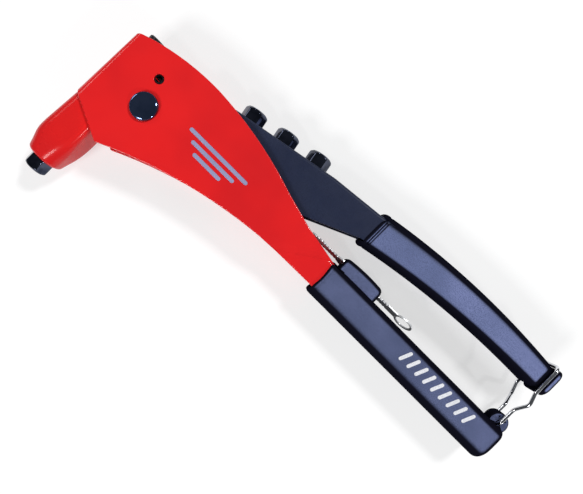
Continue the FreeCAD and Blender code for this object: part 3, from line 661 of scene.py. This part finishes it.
def make_key():
    """The flat key: a toothed tang at each side of the sleeve, and an eye to pull it by. It is
    rolled about its length, and twists a little more on its way to the eye."""
    low, high = box_mm("nosepiece_key")
    front, rear, middle_y = low.x, high.x, (low.y + high.y) / 2
    half_thick, soft, eye_r, hole_r = 0.42, 0.2, 5.2, 3.9
    pitch, tooth, tooth_rise = 1.7, 0.6, 2.5
    eye_x, arm_half, eye_lead, eye_ease = rear - eye_r, 2.5, 8.0, 5.0
    # Runs of the outline: where each starts and ends behind the tip, and the half width there.
    runs = ((0.0, 6.0, 1.6, 2.5), (6.0, 16.0, 2.6, 2.6), (16.0, 19.0, 2.6, 3.8),
            (19.0, 37.0, 3.8, 3.8), (37.0, 41.0, 3.8, 2.5))
    toothed = ((0.0, 16.5), (41.5, 49.0))

    def half_width(x):
        behind = x - front
        wide = next((first + (last - first) * (behind - start) / (end - start)
                     for start, end, first, last in runs if behind < end), arm_half)
        disc = sqrt(max(0.0, eye_r ** 2 - (x - eye_x) ** 2))
        if x > eye_x:
            wide = disc
        elif x > eye_x - eye_lead:
            share = min(1.0, (x - eye_x + eye_lead) / eye_ease)
            wide = max(wide, arm_half + (disc - arm_half) * share)
        if any(start <= behind < end for start, end in toothed):
            phase = (x / pitch) % 1.0
            wide -= tooth * min(1.0, phase * tooth_rise, (1 - phase) * tooth_rise)
        return wide

    count, eye_count = 240, 24
    xs = [front + (eye_x - front) * k / count for k in range(count + 1)]
    xs += [eye_x + eye_r * sin(pi / 2 * k / eye_count) for k in range(1, eye_count)]
    edge = [(x, half_width(x)) for x in xs] + [(eye_x + eye_r, 0.0)]
    edge += [(x, -w) for x, w in reversed(edge[:-1])]
    # Each level is a height, and how far the edge draws in there, but for the eye's very end.
    levels = ((-half_thick, soft), (soft - half_thick, 0.0), (half_thick - soft, 0.0),
              (half_thick, soft))
    least = 0.3
    rings = [[(x, level, w - (draw if w > least else -draw if w < -least else 0.0))
              for x, w in edge] for level, draw in levels]
    key = piece_from("flat_key", loft(rings))
    rim, cut = 0.3, 2.0
    hole = [(AXIS_HOLE_R, -cut), (hole_r + rim, -cut), (hole_r + rim, -half_thick),
            (hole_r, rim - half_thick), (hole_r, half_thick - rim), (hole_r + rim, half_thick),
            (hole_r + rim, cut), (AXIS_HOLE_R, cut)]
    eye = turned("eye_part", hole, (eye_x, 0.0, 0.0), axis="Y", parts=64)
    fill_axis(eye, (eye_x, 0.0, 0.0), axis="Y")
    carve(key, eye)
    twist_start, twist_long, roll_deg, twist_deg, rise = 40.0, 10.0, 17.0, 3.0, 0.3
    for v in key.data.vertices:
        x, y, z = v.co / MM
        share = held((x - front - twist_start) / twist_long)
        roll = -radians(roll_deg + twist_deg * smooth_step(share))
        v.co = Vector((x, middle_y + rise * share + y * cos(roll) - z * sin(roll),
                       y * sin(roll) + z * cos(roll))) * MM
    key.data.set_sharp_from_angle(angle=SHARP)
    set_up(key, KEY_STEEL, "key", "key_steel", "nosepiece_key")


def make_spring():
    """The jaw spring, drawn as wire. The real spring shortens as the jaws move back; this one keeps
    its length.
    """
    low, high = box_mm("jaw_spring")
    wire_r = 0.45
    coil_r = high.x - wire_r
    turns, parts, round_parts = 7, 22, 8
    rise = (high.y - low.y - 2 * wire_r) / turns
    rings = []
    for k in range(turns * parts + 1):
        a = 2 * pi * k / parts
        centre = Vector((coil_r * cos(a), low.y + wire_r + rise * k / parts, coil_r * sin(a)))
        out = Vector((cos(a), 0.0, sin(a)))
        along = Vector((-coil_r * sin(a), rise / (2 * pi), coil_r * cos(a))).normalized()
        side = along.cross(out)
        rings.append([centre + out * (wire_r * cos(b)) + side * (wire_r * sin(b))
                      for b in (2 * pi * i / round_parts for i in range(round_parts))])
    spring = piece_from("coil_spring", loft(rings))
    set_up(spring, WIRE, "pulling_head", "spring_wire", "jaw_spring")
    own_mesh(spring)


def make_pivot_pin():
    """The pin's head has a flat face, a rounded bevel and a short upright rim."""
    low, high = box_mm("pivot_pin")
    centre = ((low.x + high.x) / 2, (low.y + high.y) / 2, 0.0)
    head_r, top, end = (high.x - low.x) / 2, high.z, low.z
    half, shank_r, neck_r, tip_r, tip_long = box_mm("body_frame")[1].z, 4.99, 3.8, 3.2, 0.8
    bevel, rim, flat_r, bevel_steps = 1.15, 0.25, 3.0, 6
    profile = [(AXIS_HOLE_R, end), (tip_r, end), (neck_r, end + tip_long),
               (shank_r, end + tip_long), (shank_r, half), (head_r - rim, half),
               (head_r, half + rim)]
    profile += [(head_r - bevel + bevel * cos(a), top - bevel + bevel * sin(a))
                for a in (pi / 2 * k / bevel_steps for k in range(bevel_steps + 1))]
    profile += [(flat_r, top), (AXIS_HOLE_R, top)]
    piece = turned("pivot_pin_turned", profile, centre)
    fill_axis(piece, centre)
    # The head gets the paler copy of the dark chrome, a painted reflection.
    set_up(piece, PIVOT_CHROME_LIT, "frame", "dark_chrome", "pivot_pin")


def make_stop_pin():
    """A spring pin: a rolled tube with a slit along it and chamfered ends."""
    low, high = box_mm("stop_pin")
    cx, cy = (low.x + high.x) / 2, (low.y + high.y) / 2
    outer, inner, slit, slit_at = (high.x - low.x) / 2, 1.5, radians(9), radians(200)
    chamfer, chamfer_long, parts = 0.45, 0.5, 40
    angles = [slit_at + slit + (2 * pi - 2 * slit) * k / parts for k in range(parts + 1)]
    rings = []
    for z, draw_in in ((low.z, chamfer), (low.z + chamfer_long, 0.0),
                       (high.z - chamfer_long, 0.0), (high.z, chamfer)):
        rings.append([(cx + r * cos(a), cy + r * sin(a), z)
                      for r, side in ((outer - draw_in, angles), (inner, angles[::-1]))
                      for a in side])
    set_up(piece_from("spring_pin", loft(rings)), BLACK_STEEL, "frame", "steel", "stop_pin")


# ---------------------------------------------------------------- grips

def grip_section(x, low, top, half, low_r, top_r, shift=None, falls=None):
    """A ring round a grip at x: a rectangle from low to top in Y with rounded corners. shift
    moves a point along X. falls gives how far the flat sides draw in at the low and top
    side, and over what reaches."""
    least_flat = 0.05
    limit = min((top - low) / 2, half) - least_flat
    a, b = min(low_r, limit), min(top_r, limit)
    outline = rounded_outline([(low, -half, a), (top, -half, b), (top, half, b), (low, half, a)],
                              steps=8, side_steps=14)
    ring = []
    for y, z in ((p.x, p.y) for p in outline):
        if falls:
            (low_fall, low_reach), (top_fall, top_reach) = falls
            fall = max(low_fall * max(0.0, 1 - (y - low) / low_reach) ** 2,
                       top_fall * max(0.0, 1 - (top - y) / top_reach) ** 2)
            z *= 1 - fall / half
        ring.append((x + (shift(y) if shift else 0.0), y, z))
    return ring


def make_lower_grip():
    box_low, box_high = box_mm("lower_grip")
    low_gap, tab_reach, sleeve_high, side_gap = 0.2, 0.7, 7.1, 0.18
    start, end = box_low.x, box_high.x - tab_reach
    low, sleeve_top = box_low.y + low_gap, box_high.y
    top, side = sleeve_top - sleeve_high, box_high.z - side_gap

    # The body's front end is scooped, with a bead round it, and its top sinks a little.
    scoop, scoop_long, scoop_half = 1.3, 7.0, 8.6
    bead_high, bead_at, bead_half = 0.18, 1.9, 1.5
    rise, rise_long = 0.3, 60.0
    front_low_r, front_r = 1.6, 1.2
    rear_low_r, rear_top_r, rear_side_r = 4.6, 2.4, 3.4
    middle = (low + top) / 2
    rings = []
    for x in stations(start, end):
        s, e = x - start, end - x
        fade = max(0.0, 1.0 - s / scoop_long) ** 2

        def shift(y):
            return scoop * fade * max(0.0, 1 - ((y - middle) / scoop_half) ** 2)

        bead = bead_high * smooth_hump(s, bead_at, bead_half)
        rings.append(grip_section(
            x,
            low + end_inset(s, front_low_r) + end_inset(e, rear_low_r),
            top + rise * max(0.0, 1 - s / rise_long) - end_inset(s, front_r)
            - end_inset(e, rear_top_r),
            side + bead - end_inset(s, front_r) - end_inset(e, rear_side_r),
            low_r=4.8, top_r=3.3, shift=shift, falls=((0.6, 7.5), (0.4, 4.5))))
    grip = piece_from("lower_grip_moulding", loft(rings))

    # The sleeve that holds the key: a low tunnel with a rounded back and bevelled ends.
    sleeve_start, sleeve_end, sleeve_half = start + 4.0, start + 26.5, 7.8
    sleeve_root, crown_at, crown_fall = 3.0, 13.0, 0.9
    tunnel = []
    for x in stations(sleeve_start, sleeve_end, near=3.4, spacing=2.0, fine=7):
        s, e = x - sleeve_start, sleeve_end - x
        crown = sleeve_top - crown_fall * ((x - sleeve_start - crown_at) / crown_at) ** 2
        tunnel.append(grip_section(
            x, top - sleeve_root, crown - end_inset(s, 1.4) - end_inset(e, 2.6),
            sleeve_half - end_inset(s, 1.0) - end_inset(e, 1.8), low_r=0.5, top_r=2.2))
    carve(grip, piece_from("sleeve_part", loft(tunnel)), "UNION")

    # The tab that the clasp hinges in: a thick disc with rounded rims.
    tab_r, tab_half, tab_drop, rim, rim_steps = 5.0, 3.7, 5.7, 0.8, 5
    hinge = Vector((box_high.x - tab_r, sleeve_top - tab_drop, 0.0))
    disc = [(AXIS_HOLE_R, -tab_half)]
    for level, first in ((-tab_half + rim, -pi / 2), (tab_half - rim, 0.0)):
        disc += [(tab_r - rim + rim * cos(a), level + rim * sin(a))
                 for a in (first + pi / 2 * k / rim_steps for k in range(rim_steps + 1))]
    disc.append((AXIS_HOLE_R, tab_half))
    tab = turned("tab_part", disc, hinge, parts=72)
    fill_axis(tab, hinge)
    carve(grip, tab, "UNION")

    # The mouth that the frame's shank goes into, and the key's slot through the sleeve.
    mouth_start, mouth_end = start - 4.0, start + 9.0
    mouth = [(mouth_start, 52.8), (mouth_end, 52.8), (mouth_end, 67.35), (mouth_start, 68.6)]
    carve(grip, prism("mouth_part", mouth, shank_half() + MOUTH_GAP))
    key_y, slot_half, slot_deep = 71.0, 5.9, 2.2
    slot_start, slot_end = sleeve_start - 6.0, sleeve_end + 4.0
    slot = [(slot_start, key_y - slot_deep), (slot_end, key_y - slot_deep),
            (slot_end, key_y + slot_deep), (slot_start, key_y + slot_deep)]
    carve(grip, prism("slot_part", slot, slot_half))

    # The eye that the clasp's leg turns in, and the shallow recess that the leg lies in.
    wire_hole_r, wire_hole_half = 1.1, 6.0
    wire_hole = turned("wire_hole", [
        (AXIS_HOLE_R, -wire_hole_half), (wire_hole_r, -wire_hole_half),
        (wire_hole_r, wire_hole_half), (AXIS_HOLE_R, wire_hole_half)], hinge, parts=32)
    fill_axis(wire_hole, hinge)
    carve(grip, wire_hole)
    recess_long, recess_wide, recess_deep, recess_high = 3.4, 2.9, 0.6, 2.0
    for side_sign in (-1, 1):
        recess = bar((hinge.x, hinge.y), (hinge.x, hinge.y + recess_long), recess_wide,
                     tab_half - recess_deep, recess_high)
        for v in recess.verts:
            v.co.z *= side_sign
        bmesh.ops.recalc_face_normals(recess, faces=recess.faces)
        carve(grip, piece_from("leg_recess", recess))
    drop_scraps(grip)
    set_up(grip, SHADED_LOWER_VINYL, "frame", "grip_vinyl", "lower_grip")


def make_upper_grip():
    box_low, box_high = box_mm("upper_grip")
    start, end, half = box_low.x, box_high.x, box_high.z
    groove_start, groove_end, lip_low, lip_top = 234.6, 237.6, 91.5, 105.9
    # The arcs of the sides towards and away from the other handle: both ends and the radius.
    inner_arc = (133.5, 82.4, 232.3, 91.4, 455.0)
    outer_arc = (132.0, 101.1, 232.3, 105.1, 385.0)
    crisp_by, low_fall, top_fall, fall_loss = 1.6, (0.3, 4.5), (0.8, 8.0), 0.45
    rings = []

    def ring(x, draw_low, draw_top, draw_side, low_r, top_r):
        low, top = lip_low, lip_top
        if x < groove_start:
            low = arc_height(max(x, inner_arc[0]), *inner_arc)
            top = arc_height(max(x, outer_arc[0]), *outer_arc)
        # The outer edges get crisper, and the sides flatter, towards the rear.
        back = held((x - start) / (groove_start - start))
        falls = (low_fall, (top_fall[0] - fall_loss * back, top_fall[1]))
        rings.append(grip_section(x, low + draw_low, top - draw_top, half - draw_side, low_r,
                                  top_r - crisp_by * back, falls=falls))

    # A rolled collar goes round the front end, with a waist behind it.
    waist_start, waist_at, dip, step, waist_share = 3.4, 4.6, 0.28, 0.30, 0.5
    front_r, front_side_r, rear_low_r, rear_top_r, rear_side_r = 2.2, 4.6, 1.2, 1.6, 2.4
    side_gap, collar_spacing = 0.02, 0.3
    collar_places = [start + front_r + collar_spacing * k for k in range(13)]
    for x in sorted(set(stations(start, groove_start) + collar_places)):
        s, e = x - start, groove_start - x
        waist = dip * smooth_hump(s, waist_at, 1.0) + step * smooth_step(s - waist_start)
        draw = end_inset(s, front_r) + waist * waist_share
        ring(x, draw + end_inset(e, rear_low_r), draw + end_inset(e, rear_top_r),
             side_gap + waist + end_inset(s, front_side_r) + end_inset(e, rear_side_r),
             low_r=3.2, top_r=5.0)
    # The groove's neck, and the lip behind it that holds the clasp.
    wall, neck_low, neck_top = 0.05, 2.0, 1.2
    for x in (groove_start + wall, (groove_start + groove_end) / 2, groove_end - wall):
        ring(x, neck_low, neck_top, NECK_DEEP, low_r=3.0, top_r=4.5)
    lip_front_r, lip_rear_r, lip_stretch, lip_gap = 0.7, 1.4, 1.6, 0.1
    for x in stations(groove_end, end, near=1.3, spacing=0.4, fine=6):
        s, e = x - groove_end, end - x
        draw = end_inset(s, lip_front_r) + end_inset(e, lip_rear_r) * lip_stretch
        ring(x, draw, draw, lip_gap + end_inset(s, lip_front_r) + end_inset(e, lip_rear_r),
             low_r=3.4, top_r=4.2)
    grip = piece_from("upper_grip_moulding", loft(rings))
    # The mouth that the lever goes into. It lies aslant, as the lever does.
    mouth_start, mouth_end = start - 4.0, start + 8.0
    mouth = [(mouth_start, 82.7), (mouth_end, 85.4), (mouth_end, 99.4), (mouth_start, 98.1)]
    carve(grip, prism("upper_mouth_part", mouth, box_mm("lever")[1].z + MOUTH_GAP))
    set_up(grip, UPPER_VINYL, "lever_arm", "grip_vinyl", "upper_grip")


# ---------------------------------------------------------------- plain marks

def make_marks():
    """Plain decoration: three raised silver stripes on the frame's side, and a row of white
    slanted dashes on the lower grip."""
    face = box_mm("body_frame")[1].z
    left, right, top, down, left_step, right_step = 43.0, 77.0, 65.0, 3.6, 4.5, 5.0
    stripes = [bar((left + left_step * k, top - down * k), (right - right_step * k, top - down * k),
                   width=1.9, z=face - 0.05, high=0.30) for k in range(3)]
    set_up(joined("side_stripes", stripes), SILVER_PAINT, "frame", "red_enamel")
    face = box_mm("lower_grip")[1].z
    first, spacing, slant, foot, head = 182.0, 5.0, 2.0, 58.6, 63.4
    dashes = [bar((first + spacing * k, foot), (first + slant + spacing * k, head),
                  width=1.7, z=face - 0.24, high=0.16) for k in range(9)]
    set_up(joined("grip_dashes", dashes), WHITE_INK, "frame", "grip_vinyl")


# ---------------------------------------------------------------- stage, light, camera

IMAGE_RIGHT, IMAGE_UP = Vector((1, 1, 0)).normalized(), Vector((-1, 1, 0)).normalized()
CAMERA_PLACE = Vector((0.1117, 0.05939, 0.258))


def make_stage():
    low, reach = cad_box[0].z, 3.0
    bm = bmesh.new()
    bm.faces.new([bm.verts.new((x, y, low)) for x, y in (
        (-reach, -reach), (reach, -reach), (reach, reach), (-reach, reach))])
    floor = piece_from("floor", bm)
    n = Nodes("pale_floor")
    n.feed("Base Color", n.clouds(3.0, (0.42, 0.42, 0.42), (0.45, 0.45, 0.45)))
    n.set(Roughness=0.9, Emission_Color=(1.0, 1.0, 1.0, 1.0), Emission_Strength=0.60,
          Specular_IOR_Level=0.1)
    floor.data.materials.append(n.material)


def make_world():
    world = bpy.data.worlds.new("studio")
    bpy.context.scene.world = world
    world.use_nodes = True
    background = world.node_tree.nodes["Background"]
    background.inputs["Color"].default_value = (0.90, 0.94, 1.0, 1.0)
    background.inputs["Strength"].default_value = 0.10
    bpy.context.scene.view_settings.view_transform = "Standard"


def make_lamp(name, right, up, height, size, power):
    """A square lamp that faces the tool's middle. right, up and height say how far from it the
    lamp hangs, as the camera sees it, in metres."""
    light = bpy.data.lights.new(name, "AREA")
    light.energy, light.size = power, size
    middle = (cad_box[0] + cad_box[1]) / 2
    place = middle + IMAGE_RIGHT * right + IMAGE_UP * up + Vector((0, 0, height))
    lamp = bpy.data.objects.new(name, light)
    lamp.location = place
    lamp.rotation_mode = "QUATERNION"
    lamp.rotation_quaternion = (middle - place).to_track_quat("-Z", "Y")
    bpy.context.scene.collection.objects.link(lamp)


def make_camera():
    """Straight above the tool, turned so that the barrel points down to the left."""
    view = bpy.data.cameras.new("view")
    view.lens, view.sensor_width = 33.93, 36.0
    view.clip_start = 0.01
    camera = bpy.data.objects.new("view", view)
    axes = Matrix((IMAGE_RIGHT, IMAGE_UP, IMAGE_RIGHT.cross(IMAGE_UP))).transposed()
    camera.matrix_world = Matrix.Translation(CAMERA_PLACE) @ axes.to_4x4()
    bpy.context.scene.collection.objects.link(camera)
    bpy.context.scene.camera = camera


make_frame()
make_lever()
make_barrel()
make_small_parts()
make_key()
make_spring()
make_pivot_pin()
make_stop_pin()
make_lower_grip()
make_upper_grip()
make_marks()
make_stage()
make_world()
make_lamp("main_light", right=0.76, up=0.53, height=1.20, size=0.22, power=12.5)
make_lamp("low_light", right=-0.78, up=-0.70, height=1.10, size=0.40, power=11.5)
make_lamp("fold_light", right=-0.76, up=0.76, height=0.80, size=0.30, power=1.6)
make_lamp("corner_light", right=0.64, up=-0.91, height=0.80, size=0.09, power=3.0)
make_camera()
